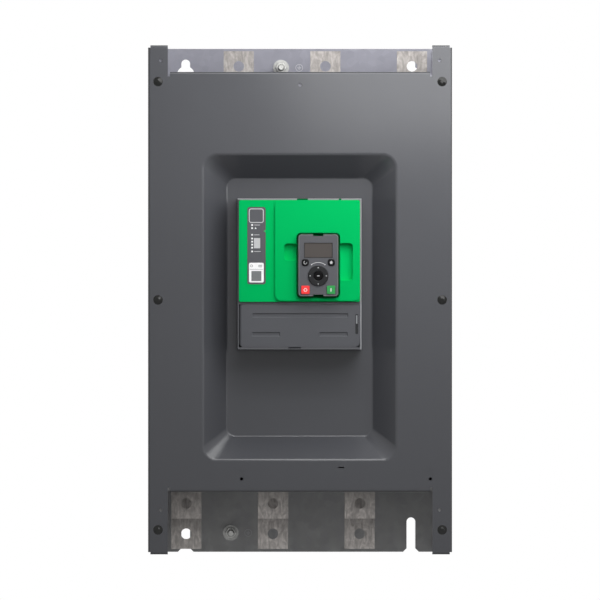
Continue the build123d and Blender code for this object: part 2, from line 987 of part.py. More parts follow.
# Fans: a frame with a duct, struts and a spindle, and a rotor that hangs on it
fan_low = bottom_wall_z + sheet
fan_high = fan_low + fan_height
motor_low = fan_high - fan_flange - motor_height
rotor_high = motor_low - rotor_gap
rotor_low = fan_low + fan_flange
tip_half_width = blade_chord / 2 * sin(radians(blade_tip_angle)) + blade_thickness / 2
tip_station = sqrt(blade_tip**2 - tip_half_width**2)
for number, phase in enumerate(phases, 1):
    with BuildPart() as fan_frame:
        for flange_low in (fan_low, fan_high - fan_flange):
            with BuildSketch(Plane.XY.offset(flange_low)) as flange:
                with Locations((phase, -fan_depth)):
                    RectangleRounded(fan_size, fan_size, fan_corner)
                    with GridLocations(2 * fan_screw_place, 2 * fan_screw_place, 2, 2):
                        Circle(fan_screw_radius, mode=Mode.SUBTRACT)
            extrude(flange.sketch, amount=fan_flange)
        with BuildSketch(Plane.XY.offset(fan_low)) as duct:
            with Locations((phase, -fan_depth)):
                Circle(fan_size / 2)
        extrude(duct.sketch, amount=fan_height)
        with BuildSketch(Plane.XY.offset(fan_low)) as bore:
            with Locations((phase, -fan_depth)):
                Circle(fan_duct_radius)
        extrude(bore.sketch, amount=fan_height, mode=Mode.SUBTRACT)
        with BuildSketch(Plane.XY.offset(fan_high - fan_flange)) as struts:
            with Locations((phase, -fan_depth)):
                Rectangle(fan_duct_radius + fan_size / 2, strut_width, strut_angle)
                Rectangle(fan_duct_radius + fan_size / 2, strut_width, -strut_angle)
        extrude(struts.sketch, amount=fan_flange)
        with BuildSketch(Plane.XY.offset(motor_low)) as motor:
            with Locations((phase, -fan_depth)):
                Circle(motor_radius)
        extrude(motor.sketch, amount=motor_height + fan_flange)
        with BuildSketch(Plane.XY.offset(rotor_low + rotor_gap)) as spindle:
            with Locations((phase, -fan_depth)):
                Circle(spindle_radius)
        extrude(spindle.sketch, amount=motor_low - rotor_low)
    finish(fan_frame, "fan_frame_" + str(number))
    with BuildPart() as fan_rotor:
        with BuildSketch(Plane.XY.offset(rotor_low)) as hub:
            with Locations((phase, -fan_depth)):
                Circle(hub_radius)
        extrude(hub.sketch, amount=rotor_high - rotor_low)
        blade_middle = (rotor_low + rotor_high) / 2
        for blade in range(blade_count):
            turn = radians(360 / blade_count * blade)
            sections = []
            for radius, angle in (
                (hub_radius - blade_thickness, blade_root_angle),
                (tip_station, blade_tip_angle),
            ):
                station = Plane(
                    origin=(
                        phase + radius * cos(turn),
                        radius * sin(turn) - fan_depth,
                        blade_middle,
                    ),
                    x_dir=(-sin(turn), cos(turn), 0),
                    z_dir=(cos(turn), sin(turn), 0),
                )
                with BuildSketch(station) as blade_section:
                    Rectangle(blade_thickness, blade_chord, angle)
                sections.append(blade_section.sketch)
            loft(sections, ruled=True)
        with BuildSketch(Plane.XY.offset(rotor_low + rotor_gap)) as bore:
            with Locations((phase, -fan_depth)):
                Circle(spindle_radius + spindle_fit)
        extrude(bore.sketch, amount=fan_height, mode=Mode.SUBTRACT)
    finish(fan_rotor, "fan_rotor_" + str(number))

# Earth studs, washers and nuts on the back plate
washer_face = plate_face + earth_washer_thickness
nut_face = washer_face + earth_nut_height
with BuildPart() as earth_studs:
    disc(earth_places, earth_stud_radius, plate_face, plate_face + earth_stud_length)
    chamfer(earth_studs.faces().sort_by(Axis.Y)[:2].edges(), earth_stud_chamfer)
finish(earth_studs, "earth_studs")
with BuildPart() as earth_washers:
    disc(earth_places, earth_washer_radius, plate_face, washer_face)
    disc(
        earth_places,
        earth_stud_radius + bolt_hole_gap,
        plate_face,
        washer_face,
        Mode.SUBTRACT,
    )
finish(earth_washers, "earth_washers")
with BuildPart() as earth_nuts:
    hexagons(earth_places, earth_nut_flat, washer_face, nut_face)
    disc(
        earth_places,
        earth_stud_radius + earth_thread_gap,
        washer_face,
        nut_face,
        Mode.SUBTRACT,
    )
    chamfer(earth_nuts.faces().sort_by(Axis.Y)[:2].edges(), earth_nut_chamfer)
finish(earth_nuts, "earth_nuts")

# Mounting plate across the cabinet, behind the control module
inner_plate_back = inner_plate_face - sheet
with BuildPart() as mounting_plate:
    folded(
        Plane.XY.offset(inner_plate_bottom),
        [
            (-wall_inner, inner_plate_flange - inner_plate_face),
            (-wall_inner, -inner_plate_face),
            (wall_inner, -inner_plate_face),
            (wall_inner, inner_plate_flange - inner_plate_face),
        ],
        bend,
        sheet,
        inner_plate_top - inner_plate_bottom,
    )
    block(
        module_rim_x,
        module_rim_z,
        cable_window_width,
        cable_window_height,
        inner_plate_back,
        inner_plate_face,
        Mode.SUBTRACT,
    )
finish(mounting_plate, "mounting_plate")

# Power board on four posts behind the mounting plate, with its soldered parts
post_back = inner_plate_back - post_height
board_back = post_back - board_thickness
post_places = [
    (
        across * (power_board_width / 2 - post_inset),
        power_board_z + up * (power_board_height / 2 - post_inset),
    )
    for across in (-1, 1)
    for up in (-1, 1)
]
with BuildPart() as board_posts:
    disc(post_places, post_radius, post_back, inner_plate_back)
finish(board_posts, "board_posts")
with BuildPart() as power_board:
    block(0, power_board_z, power_board_width, power_board_height, board_back, post_back)
    for gate_x in (-gate_pitch, 0.0, gate_pitch):
        for side in (-1, 1):
            width, height, depth = gate_transformer
            block(
                gate_x + side * (width + gate_gap) / 2,
                power_board_z - power_board_height / 4,
                width,
                height,
                board_back - depth,
                board_back,
            )
        width, height, depth = gate_connector
        block(
            gate_x,
            power_board_z - power_board_height / 2 + height,
            width,
            height,
            board_back - depth,
            board_back,
        )
    width, height, depth = supply_transformer
    block(
        -power_board_width / 4,
        power_board_z + power_board_height / 4,
        width,
        height,
        board_back - depth,
        board_back,
    )
finish(power_board, "power_board")

# Control module base: a moulded box with a deck between electronics and terminals
base_back = inner_plate_face
inside_width = inside_right - inside_left
inside_x = (inside_left + inside_right) / 2
control_board_back = base_back + base_rear + boss_height
control_board_place = (inside_x, (deck_z + inside_top) / 2)
control_board_size = (
    inside_width - 2 * control_board_gap,
    inside_top - deck_z - 2 * control_board_gap,
)
boss_places = [
    (
        control_board_place[0] + across * (control_board_size[0] / 2 - boss_inset),
        control_board_place[1] + up * (control_board_size[1] / 2 - boss_inset),
    )
    for across in (-1, 1)
    for up in (-1, 1)
]
deck_low = deck_z - deck_thickness
lid_top = deck_low - slip
lid_low = inside_bottom + slip
pin_axis = (hinge_x, -hinge_depth)
with BuildPart() as control_base:
    block(module_rim_x, module_rim_z, rim_width, rim_height, base_back, rim_face)
    chamfer(control_base.faces().sort_by(Axis.Y)[0].edges(), rim_bevel)
    block(
        inside_x,
        (deck_z + inside_top) / 2,
        inside_width,
        inside_top - deck_z,
        base_back + base_rear,
        rim_face,
        Mode.SUBTRACT,
    )
    block(
        inside_x,
        (inside_bottom + deck_low) / 2,
        inside_width,
        deck_low - inside_bottom,
        terminal_deck_face,
        rim_face,
        Mode.SUBTRACT,
    )
    block(
        inside_x,
        (inside_bottom + deck_low) / 2,
        inside_width,
        deck_low - inside_bottom,
        base_back,
        terminal_deck_face - base_rear,
        Mode.SUBTRACT,
    )
    block(
        inside_x,
        (deck_low + deck_z) / 2,
        inside_width,
        deck_thickness,
        deck_face,
        rim_face,
        Mode.SUBTRACT,
    )
    disc(boss_places, boss_radius, base_back + base_rear, control_board_back)
    with BuildSketch(Plane.XY.offset(rim_bottom)) as cable_exit:
        with Locations((module_rim_x, -(terminal_deck_face + exit_margin + exit_depth / 2))):
            SlotOverall(exit_width, exit_depth)
    extrude(cable_exit.sketch, amount=base_floor, mode=Mode.SUBTRACT)
    for pivot_low in (inside_bottom - hinge_hole, deck_low):
        with BuildSketch(Plane.XY.offset(pivot_low)) as pivot:
            with Locations(pin_axis):
                Circle(hinge_pin + hinge_fit)
        extrude(pivot.sketch, amount=hinge_hole, mode=Mode.SUBTRACT)
    for tab_x, tab_width in tabs:
        block(
            tab_x,
            rim_top - base_wall / 2,
            tab_width + 2 * seam,
            base_wall,
            bezel_face - bezel_thickness - seam,
            rim_face,
            Mode.SUBTRACT,
        )
    notch_x, notch_width, notch_height, notch_depth = lid_notch
    block(
        notch_x,
        inside_bottom - notch_height / 2,
        notch_width,
        notch_height,
        rim_face - notch_depth,
        rim_face,
        Mode.SUBTRACT,
    )
finish(control_base, "control_base")

with BuildPart() as control_board:
    block(
        *control_board_place,
        *control_board_size,
        control_board_back,
        control_board_back + board_thickness,
    )
    chip_face = control_board_back + board_thickness
    for chip_x, chip_z, chip_width, chip_height, chip_depth in chips:
        block(
            chip_x,
            module_rim_z + chip_z,
            chip_width,
            chip_height,
            chip_face,
            chip_face + chip_depth,
        )
finish(control_board, "control_board")

# Green bezel: a plate with a skirt, two tabs over the rim and a hole for the panel's pocket
bezel_left = inside_left + seam
bezel_right = inside_right - seam
bezel_top = inside_top - seam
bezel_low = deck_z + seam
bezel_back = bezel_face - bezel_thickness
bezel_x = (bezel_left + bezel_right) / 2
bezel_z = (bezel_low + bezel_top) / 2
bezel_width = bezel_right - bezel_left
bezel_height = bezel_top - bezel_low
cup_left = left_grip[0] - left_grip[2] / 2 - pocket_wall
cup_right = right_grip[0] + right_grip[2] / 2 + pocket_wall
cup_top = pocket_z + pocket_height / 2 + pocket_wall
cup_low = pocket_z - pocket_height / 2 - pocket_wall
with BuildPart() as control_bezel:
    rounded_block(
        bezel_x,
        bezel_z,
        bezel_width,
        bezel_height,
        bezel_corner,
        bezel_back - skirt_depth,
        bezel_face,
    )
    block(
        bezel_x,
        bezel_z,
        bezel_width - 2 * skirt_thickness,
        bezel_height - 2 * skirt_thickness,
        bezel_back - skirt_depth,
        bezel_back,
        Mode.SUBTRACT,
    )
    for tab_x, tab_width in tabs:
        block(
            tab_x,
            bezel_top + tab_reach / 2,
            tab_width,
            tab_reach,
            bezel_back,
            rim_face,
        )
    block(
        (cup_left + cup_right) / 2,
        (cup_top + cup_low) / 2,
        cup_right - cup_left + 2 * slip,
        cup_top - cup_low + 2 * slip,
        bezel_back - skirt_depth,
        bezel_face,
        Mode.SUBTRACT,
    )
    rounded_block(
        *strip_place,
        strip_size[0] + 2 * seam,
        strip_size[1] + 2 * seam,
        strip_corner + seam,
        bezel_face - strip_recess,
        bezel_face,
        Mode.SUBTRACT,
    )
finish(control_bezel, "control_bezel")

with BuildPart() as status_strip:
    rounded_block(
        *strip_place,
        *strip_size,
        strip_corner,
        bezel_face - strip_recess,
        bezel_face + strip_proud,
    )
finish(status_strip, "status_strip")


# Raised green panel: it holds the display terminal in a pocket with two finger grips
panel_low = bezel_low + panel_drop
grip_floor = panel_face - grip_depth
with BuildPart() as control_panel:
    with BuildSketch(front(bezel_face)) as plate:
        with Locations(((panel_left + bezel_right) / 2, (panel_low + bezel_top) / 2)):
            Rectangle(bezel_right - panel_left, bezel_top - panel_low)
        fillet(plate.vertices().group_by(Axis.Z)[0], panel_corner)
    extrude(plate.sketch, amount=panel_face - bezel_face)
    for place in (left_grip, right_grip):
        rounded_block(
            place[0],
            place[1],
            place[2] + 2 * pocket_wall,
            place[3] + 2 * pocket_wall,
            pocket_wall,
            grip_floor - pocket_wall,
            bezel_face,
        )
    rounded_block(
        pocket_x,
        pocket_z,
        pocket_width + 2 * pocket_wall,
        pocket_height + 2 * pocket_wall,
        pocket_corner + pocket_wall,
        pocket_floor - pocket_wall,
        bezel_face,
    )
    for place in (left_grip, right_grip):
        rounded_block(*place, grip_corner, grip_floor, panel_face, Mode.SUBTRACT)
    rounded_block(
        pocket_x,
        pocket_z,
        pocket_width,
        pocket_height,
        pocket_corner,
        pocket_floor,
        panel_face,
        Mode.SUBTRACT,
    )
    block(
        pocket_x,
        pocket_z,
        socket_size,
        socket_size,
        pocket_floor - pocket_wall,
        pocket_floor + socket_height,
    )
finish(control_panel, "control_panel")

# Display terminal: a bevelled case with a screen and keys, plugged on the socket
display_back = pocket_floor + slip
screen_floor = display_face - screen_depth
wheel_hole = wheel_radius + key_gap
with BuildPart() as display_case:
    rounded_block(
        pocket_x,
        pocket_z,
        display_width,
        display_height,
        display_corner,
        display_back,
        display_face,
    )
    chamfer(display_case.faces().sort_by(Axis.Y)[0].edges(), display_bevel)
    block(
        pocket_x,
        pocket_z,
        socket_size + 2 * slip,
        socket_size + 2 * slip,
        display_back,
        pocket_floor + socket_height + slip,
        Mode.SUBTRACT,
    )
    for side in (-1, 1):
        block(
            pocket_x,
            pocket_z + side * (display_height - latch_reach) / 2,
            latch_width,
            latch_reach,
            display_back,
            display_face,
            Mode.SUBTRACT,
        )
    block(
        screen_x,
        screen_z,
        screen_width,
        screen_height,
        screen_floor,
        display_face,
        Mode.SUBTRACT,
    )
    for place, size, corner in (
        (escape_place, round_key_size, round_key_corner),
        (home_place, round_key_size, round_key_corner),
        (stop_place, square_key_size, square_key_corner),
        (run_place, square_key_size, square_key_corner),
    ):
        rounded_block(
            *place,
            size + 2 * key_gap,
            size + 2 * key_gap,
            corner + key_gap,
            keys_floor,
            display_face,
            Mode.SUBTRACT,
        )
    disc([wheel_place], wheel_hole, keys_floor, display_face, Mode.SUBTRACT)
finish(display_case, "display_case")

with BuildPart() as screen_lens:
    block(
        screen_x,
        screen_z,
        screen_width - 2 * slip,
        screen_height - 2 * slip,
        screen_floor,
        screen_floor + lens_thickness,
    )
finish(screen_lens, "screen_lens")

key_back = keys_floor + key_travel + slip
key_face = display_face + key_proud
wheel_face = display_face + wheel_proud
for name, place, size, corner, edge_radius in (
    ("escape_key", escape_place, round_key_size, round_key_corner, round_key_edge),
    ("home_key", home_place, round_key_size, round_key_corner, round_key_edge),
    ("stop_key", stop_place, square_key_size, square_key_corner, square_key_edge),
    ("run_key", run_place, square_key_size, square_key_corner, square_key_edge),
):
    with BuildPart() as key:
        rounded_block(*place, size, size, corner, key_back, key_face)
        fillet(key.faces().sort_by(Axis.Y)[0].edges(), edge_radius)
    finish(key, name)

with BuildPart() as navigation_ring:
    disc([wheel_place], wheel_radius, key_back, wheel_face)
    disc([wheel_place], select_radius + key_gap, key_back, wheel_face, Mode.SUBTRACT)
    fillet(navigation_ring.faces().sort_by(Axis.Y)[0].edges(), ring_edge)
finish(navigation_ring, "navigation_ring")

with BuildPart() as select_key:
    disc([wheel_place], select_radius, key_back, key_face)
    fillet(select_key.faces().sort_by(Axis.Y)[0].edges(), round_key_edge)
finish(select_key, "select_key")

# Terminal cover: a plate with a skirt and a hinge barrel along its left edge
lid_right = inside_right - 2 * seam
lid_back = lid_face - cover_plate
lid_height = lid_top - lid_low
lid_z = (lid_top + lid_low) / 2
with BuildPart() as terminal_cover:
    with BuildSketch(Plane.XY.offset(lid_low)) as barrel:
        with Locations(pin_axis):
            Circle(hinge_radius)
    extrude(barrel.sketch, amount=lid_height)
    block(
        (hinge_x + lid_right) / 2, lid_z, lid_right - hinge_x, lid_height, lid_back, lid_face
    )
    for skirt_z in (lid_low + skirt_thickness / 2, lid_top - skirt_thickness / 2):
        block(
            (hinge_x + lid_right) / 2,
            skirt_z,
            lid_right - hinge_x,
            skirt_thickness,
            lid_face - lid_skirt,
            lid_back,
        )
    block(
        lid_right - skirt_thickness / 2,
        lid_z,
        skirt_thickness,
        lid_height,
        lid_face - lid_skirt,
        lid_back,
    )
    for corner_x, inward in ((bezel_left - lid_corner_shift, 1), (lid_right, -1)):
        with BuildSketch(front(lid_face - lid_skirt)) as corner_waste:
            with Locations((corner_x + inward * lid_corner / 2, lid_low + lid_corner / 2)):
                Rectangle(lid_corner, lid_corner)
            with Locations((corner_x + inward * lid_corner, lid_low + lid_corner)):
                Circle(lid_corner, mode=Mode.SUBTRACT)
        extrude(corner_waste.sketch, amount=lid_skirt, mode=Mode.SUBTRACT)
    for pin_low, pin_high in (
        (lid_low - slip - hinge_pin_length, lid_low + lid_corner),
        (lid_top - slip, lid_top + slip + hinge_pin_length),
    ):
        with BuildSketch(Plane.XY.offset(pin_low)) as pin:
            with Locations(pin_axis):
                Circle(hinge_pin)
        extrude(pin.sketch, amount=pin_high - pin_low)
    with BuildSketch(front(lid_face - groove_depth)) as grooves:
        for groove_x, groove_z, groove_length in (upper_groove, *lower_grooves):
            with Locations((groove_x, groove_z)):
                RectangleRounded(groove_length, groove_width, groove_corner)
    extrude(grooves.sketch, amount=groove_depth, mode=Mode.SUBTRACT)
    groove_floors = terminal_cover.faces().filter_by_position(
        Axis.Y, groove_depth - lid_face - match, groove_depth - lid_face + match
    )
    chamfer(groove_floors.edges(), groove_bevel)
    slot_x, slot_z, slot_width, slot_length = latch_slot
    rounded_block(
        slot_x,
        slot_z,
        slot_width,
        slot_length,
        latch_slot_corner,
        lid_face - latch_slot_depth,
        lid_face,
        Mode.SUBTRACT,
    )
    finger_width, finger_length, finger_height = latch_finger
    block(
        slot_x,
        slot_z + (slot_length - finger_length) / 2 - latch_slot_corner,
        finger_width,
        finger_length,
        lid_face - latch_slot_depth,
        lid_face - latch_slot_depth + finger_height,
    )
finish(terminal_cover, "terminal_cover")

# Control terminals: two plug-in blocks with screws above and wire entries below
for name, side in (("terminal_block_left", -1), ("terminal_block_right", 1)):
    block_x = inside_x + side * (terminal_block_length + terminal_block_gap) / 2
    block_face = terminal_deck_face + terminal_block_depth
    with BuildPart() as terminal_block:
        block(
            block_x,
            terminal_block_z,
            terminal_block_length,
            terminal_block_height,
            terminal_deck_face,
            block_face,
        )
        with BuildSketch(front(block_face - wire_depth)) as entries:
            with Locations((block_x, terminal_block_z - terminal_block_height / 4)):
                with GridLocations(terminal_pitch, 0, terminal_ways, 1):
                    Rectangle(wire_entry, wire_entry)
            with Locations((block_x, terminal_block_z + terminal_block_height / 4)):
                with GridLocations(terminal_pitch, 0, terminal_ways, 1):
                    RegularPolygon(wire_entry / 2, screw_well_sides)
        extrude(entries.sketch, amount=wire_depth, mode=Mode.SUBTRACT)
    finish(terminal_block, name)
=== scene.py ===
from math import cos, pi, sin

import bmesh
import bpy
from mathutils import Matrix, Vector


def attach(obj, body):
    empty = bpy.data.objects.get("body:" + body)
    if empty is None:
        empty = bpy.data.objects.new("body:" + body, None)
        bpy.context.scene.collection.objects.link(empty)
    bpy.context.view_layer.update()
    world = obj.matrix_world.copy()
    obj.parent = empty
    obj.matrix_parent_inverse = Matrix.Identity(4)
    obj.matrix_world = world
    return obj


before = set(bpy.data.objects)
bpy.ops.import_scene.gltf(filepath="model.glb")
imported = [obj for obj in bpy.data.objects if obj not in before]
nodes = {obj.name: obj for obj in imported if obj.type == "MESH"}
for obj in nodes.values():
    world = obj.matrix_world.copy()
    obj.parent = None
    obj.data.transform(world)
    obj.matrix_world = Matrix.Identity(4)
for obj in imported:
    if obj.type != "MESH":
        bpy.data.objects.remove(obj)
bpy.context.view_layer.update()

MM = 0.001
X, Y, Z = 0, 1, 2

# How far a change of colour by position is blurred, for straight edges and for curved ones
SHARP_EDGE = 0.02 * MM
SOFT_EDGE = 0.1 * MM

# Front cover: painted shade on each fold, which lies between two depths, outside the mouth of
# the dish
FOLD_FRONT, FOLD_REAR = -274.5 * MM, -272.0 * MM
DISH_MIDDLE = (-0.5 * MM, -9.5 * MM)
DISH_WIDTH, DISH_HEIGHT, DISH_CORNER = 266 * MM, 414 * MM, 20 * MM

# Module base: the rim in front of the deck has a painted highlight at its top and right
RIM_DEPTH, RIM_TOP, RIM_RIGHT = -285.4 * MM, 131.6 * MM, 78.7 * MM
BEZEL_TABS = 131.15 * MM

# Terminal cover: the latch slot at its right has a painted highlight on its edge and a floor
# darkened with painted shade
LATCH_LEFT = 72.2 * MM
LATCH_EDGE, LATCH_SLOT, LATCH_FLOOR = -285.75 * MM, -285.3 * MM, -283.8 * MM

# Control panel: each finger grip's floor lies between two depths and is painted a paler green
# as painted light
GRIP_FRONT, GRIP_REAR = -283.5 * MM, -281.5 * MM

# Display terminal: its face, with a painted highlight on the bevelled edge inside a dark
# green edge of painted shade and painted reflection of the panel, the screen and the wheel
DISPLAY_MIDDLE = (23.75 * MM, 45.4 * MM)
DISPLAY_DEPTH = -296.8 * MM
SCREEN_MIDDLE = (23.8 * MM, 65.0 * MM)
WHEEL_MIDDLE = (23.6, 31.5)
WHEEL_DEPTH = -300 * MM
WHEEL_DOT_REACH = 10.7
WHEEL_DOT_RADIUS = 0.7 * MM


# Materials
def colour_socket(sockets, name):
    """The colour socket of a mix node among sockets of the same name."""
    return [s for s in sockets if s.name == name and s.type == "RGBA"][0]


class Look:
    """A material whose colour, roughness and bump come from textures in its nodes."""

    def __init__(self, name, roughness, metallic=0.0, specular=0.5):
        self.material = bpy.data.materials.new(name)
        self.material.use_nodes = True
        self.tree = self.material.node_tree
        self.shader = self.tree.nodes["Principled BSDF"]
        self.shader.inputs["Metallic"].default_value = metallic
        self.shader.inputs["Roughness"].default_value = roughness
        self.shader.inputs["Specular IOR Level"].default_value = specular
        self.place = self.tree.nodes.new("ShaderNodeTexCoord").outputs["Object"]

    def node(self, kind, values=(), **links):
        """A new node with values on its sockets and links to other sockets."""
        made = self.tree.nodes.new(kind)
        for socket, value in dict(values).items():
            made.inputs[socket].default_value = value
        for socket, source in links.items():
            self.tree.links.new(source, made.inputs[socket])
        return made

    def noise(self, size, stretch=(1, 1, 1), detail=3.0, spot=(0, 0, 0), wave=0.0):
        """Noise whose features are about size metres across, drawn out by stretch."""
        moved = self.node("ShaderNodeMapping", Vector=self.place)
        moved.inputs["Scale"].default_value = [1 / (size * s) for s in stretch]
        moved.inputs["Location"].default_value = spot
        return self.node(
            "ShaderNodeTexNoise", {"Scale": 1.0, "Detail": detail, "Distortion": wave},
            Vector=moved.outputs[0],
        ).outputs["Fac"]

    def spread(self, value, low, high, start=0.3, end=0.7):
        """The value between start and end, mapped to low and high."""
        return self.node(
            "ShaderNodeMapRange",
            {"From Min": start, "From Max": end, "To Min": low, "To Max": high},
            Value=value,
        ).outputs[0]

    def mix_node(self, first, second):
        """A mix node of two colours, each a colour or a socket."""
        made = self.tree.nodes.new("ShaderNodeMix")
        made.data_type = "RGBA"
        made.inputs["Factor"].default_value = 1.0
        for name, colour in (("A", first), ("B", second)):
            target = colour_socket(made.inputs, name)
            if isinstance(colour, bpy.types.NodeSocket):
                self.tree.links.new(colour, target)
            else:
                target.default_value = (*colour, 1)
        return made

    def mix(self, factor, first, second):
        """The first colour at 0, the second at 1, and a blend between."""
        made = self.mix_node(first, second)
        self.tree.links.new(factor, made.inputs["Factor"])
        return colour_socket(made.outputs, "Result")

    def multiply(self, first, second):
        """The product of two colours."""
        made = self.mix_node(first, second)
        made.blend_type = "MULTIPLY"
        return colour_socket(made.outputs, "Result")

    def combine(self, operation, first, second):
        """Two values worked into one, such as their product."""
        made = self.node("ShaderNodeMath")
        made.operation = operation
        self.tree.links.new(first, made.inputs[0])
        self.tree.links.new(second, made.inputs[1])
        return made.outputs[0]

    def along(self, axis):
        """The surface's place along an axis."""
        return self.node("ShaderNodeSeparateXYZ", Vector=self.place).outputs[axis]

    def colour(self, source):
        self.tree.links.new(source, self.shader.inputs["Base Color"])

    def rough(self, source):
        self.tree.links.new(source, self.shader.inputs["Roughness"])

    def bump(self, height, distance, strength):
        """Relief from a height texture."""
        made = self.node(
            "ShaderNodeBump", {"Distance": distance, "Strength": strength}, Height=height
        )
        self.tree.links.new(made.outputs[0], self.shader.inputs["Normal"])


def srgb(text):
    """A colour written as six hexadecimal digits, as linear light."""
    parts = [int(text[i : i + 2], 16) / 255 for i in (0, 2, 4)]
    return tuple(p / 12.92 if p < 0.04045 else ((p + 0.055) / 1.055) ** 2.4 for p in parts)


def shade(colour, factor):
    """A colour made darker or paler by a factor."""
    return tuple(min(1.0, c * factor) for c in colour)


def beyond(look, axis, level):
    """1 where the surface lies beyond a level along an axis, and 0 elsewhere."""
    return look.spread(look.along(axis), 0.0, 1.0, level - SHARP_EDGE, level + SHARP_EDGE)


def between(look, axis, low, high):
    """1 where the surface lies between two levels along an axis, and 0 elsewhere."""
    return look.combine("SUBTRACT", beyond(look, axis, low), beyond(look, axis, high))


def stepped(look, axis, colour, steps):
    """A colour that gives way to another at each level along an axis."""
    for level, next_colour in steps:
        colour = look.mix(beyond(look, axis, level), colour, next_colour)
    return colour


def spots(look, places, radius):
    """1 within a radius of any of the places, and 0 elsewhere."""
    nearest = None
    for place in places:
        gap = look.node("ShaderNodeVectorMath", {1: place}, Vector=look.place)
        gap.operation = "DISTANCE"
        distance = gap.outputs["Value"]
        nearest = distance if nearest is None else look.combine("MINIMUM", nearest, distance)
    return look.spread(nearest, 1.0, 0.0, radius - SOFT_EDGE, radius + SOFT_EDGE)


def outside(look, middle, width, height, corner):
    """1 outside a rounded rectangle that faces the front, and 0 inside it."""
    value = look.place
    for operation, other in (
        ("SUBTRACT", (middle[0], 0, middle[1])),
        ("MULTIPLY", (1, 0, 1)),
        ("ABSOLUTE", None),
        ("SUBTRACT", (width / 2 - corner, 0, height / 2 - corner)),
        ("MAXIMUM", (0, 0, 0)),
        ("LENGTH", None),
    ):
        made = look.node("ShaderNodeVectorMath", {1: other} if other else (), Vector=value)
        made.operation = operation
        value = made.outputs["Value" if operation == "LENGTH" else "Vector"]
    return look.spread(value, 0.0, 1.0, corner - SOFT_EDGE, corner + SOFT_EDGE)


def plastic(name, colour, roughness=0.42, grain=0.35, cloud=0.05, specular=0.25):
    """Moulded plastic: faint clouding and a fine spark-eroded texture."""
    look = Look(name, roughness, specular=specular)
    cloudy = look.noise(0.045)
    fine = look.noise(0.0007, detail=1.0)
    look.colour(look.mix(cloudy, shade(colour, 1 - cloud), shade(colour, 1 + cloud)))
    look.rough(look.spread(cloudy, roughness - 0.05, roughness + 0.05))
    look.bump(fine, 0.03 * MM, grain)
    return look


def coated_sheet(name, colour, roughness):
    """Powder coat: orange peel, faint clouding, the odd rub mark, and painted shade on each
    fold, which is also duller.
    """
    look = Look(name, roughness, specular=0.38)
    cloudy = look.noise(0.11)
    peel = look.noise(0.0018, detail=2.0)
    rubbed = look.noise(0.03, stretch=(1, 1, 3), detail=6.0, spot=(3, 1, 2))
    base = look.mix(cloudy, shade(colour, 0.95), shade(colour, 1.05))
    marks = look.spread(rubbed, 0.0, 0.15, 0.6, 0.8)
    painted = look.mix(marks, base, shade(colour, 1.15))
    even = look.spread(rubbed, roughness - 0.015, roughness + 0.015)
    beside_dish = outside(look, DISH_MIDDLE, DISH_WIDTH, DISH_HEIGHT, DISH_CORNER)
    fold_painted_shade = look.combine("MULTIPLY", between(look, Y, FOLD_FRONT, FOLD_REAR), beside_dish)
    # Painted shade: each fold outside the dish is painted at 0.4 of the coat's colour
    look.colour(look.mix(fold_painted_shade, painted, shade(colour, 0.4)))
    look.rough(look.combine("MAXIMUM", even, look.spread(fold_painted_shade, 0.0, 0.6, 0.0, 1.0)))
    look.bump(peel, 0.06 * MM, 0.25)
    return look


def galvanised(name, colour, low):
    """Zinc-coated sheet: flat crystals of slightly different grey, with painted light from
    low to high: the low colour at the bottom gives way to the colour at the top.
    """
    look = Look(name, 0.55, metallic=0.25, specular=0.3)
    crystals = look.node("ShaderNodeTexVoronoi", {"Scale": 120.0}, Vector=look.place)
    tone = look.node("ShaderNodeSeparateColor", Color=crystals.outputs["Color"])
    streaks = look.noise(0.02, stretch=(1, 1, 4), detail=5.0)
    # Painted light: paler and more neutral towards the bottom, darker and bluer towards the
    # top, standing in for how light falls
    base = look.mix(look.spread(look.along(Z), 0.0, 1.0, -0.3, 0.25), low, colour)
    tint = look.mix(tone.outputs[0], (0.96, 0.96, 0.96), (1.04, 1.04, 1.04))
    spangle = look.multiply(base, tint)
    look.colour(look.mix(look.spread(streaks, 0.0, 0.3), spangle, shade(colour, 0.85)))
    look.rough(look.spread(tone.outputs[1], 0.48, 0.62, 0.0, 1.0))
    look.bump(streaks, 0.04 * MM, 0.2)
    return look


def brushed(name, colour, along, roughness=0.4, contrast=0.35, metallic=0.5,
            size=0.0022, wave=0.0, low=(1.0, -0.33, -0.29)):
    """Metal with brush lines, drawn out along one axis and perhaps wavy.

    low is painted light: how much paler the low end is painted, where that ends and where it
    starts.
    """
    look = Look(name, roughness, metallic=metallic)
    lines = look.noise(size, stretch=along, detail=5.0, wave=wave)
    broad = look.noise(0.011, stretch=[max(1, s / 5) for s in along], detail=3.0, wave=wave)
    dark, light = shade(colour, 1 - contrast), shade(colour, 1 + contrast / 2)
    fine = look.mix(look.spread(lines, 0.0, 1.0), dark, light)
    worn = look.mix(look.spread(broad, 0.0, 0.5), fine, dark)
    paler, end, start = low
    # Painted light: paler towards the low end
    tone = look.mix(look.spread(look.along(Z), 0.0, 1.0, end, start), (paler,) * 3, (1, 1, 1))
    look.colour(look.multiply(worn, tone))
    look.rough(look.spread(broad, roughness - 0.08, roughness + 0.1))
    look.bump(lines, 0.03 * MM, 0.5)
    return look


def busbar(name, colour, low=(1.0, -0.33, -0.29)):
    """A tinned copper bar, with wavy marks down its length."""
    return brushed(name, colour, (1, 1, 3), roughness=0.6, contrast=0.4,
                   metallic=0.35, size=0.007, wave=1.8, low=low)


def printed(name, colour, roughness=0.5):
    """Ink or a thin label: a flat print with a little unevenness."""
    look = Look(name, roughness)
    uneven = look.noise(0.004)
    look.colour(look.mix(uneven, shade(colour, 0.94), shade(colour, 1.04)))
    return look


# Colours that stand in more than one place
LID_GREY = srgb("535458")
BASE_GREY = srgb("595a5e")
DISPLAY_GREY = srgb("545559")
MODULE_GREEN = srgb("00b25c")
WHEEL_BLACK = srgb("242526")
SCREEN_BROWN = srgb("4c4744")
RIM_PAINTED_HIGHLIGHT = srgb("8c8d90")

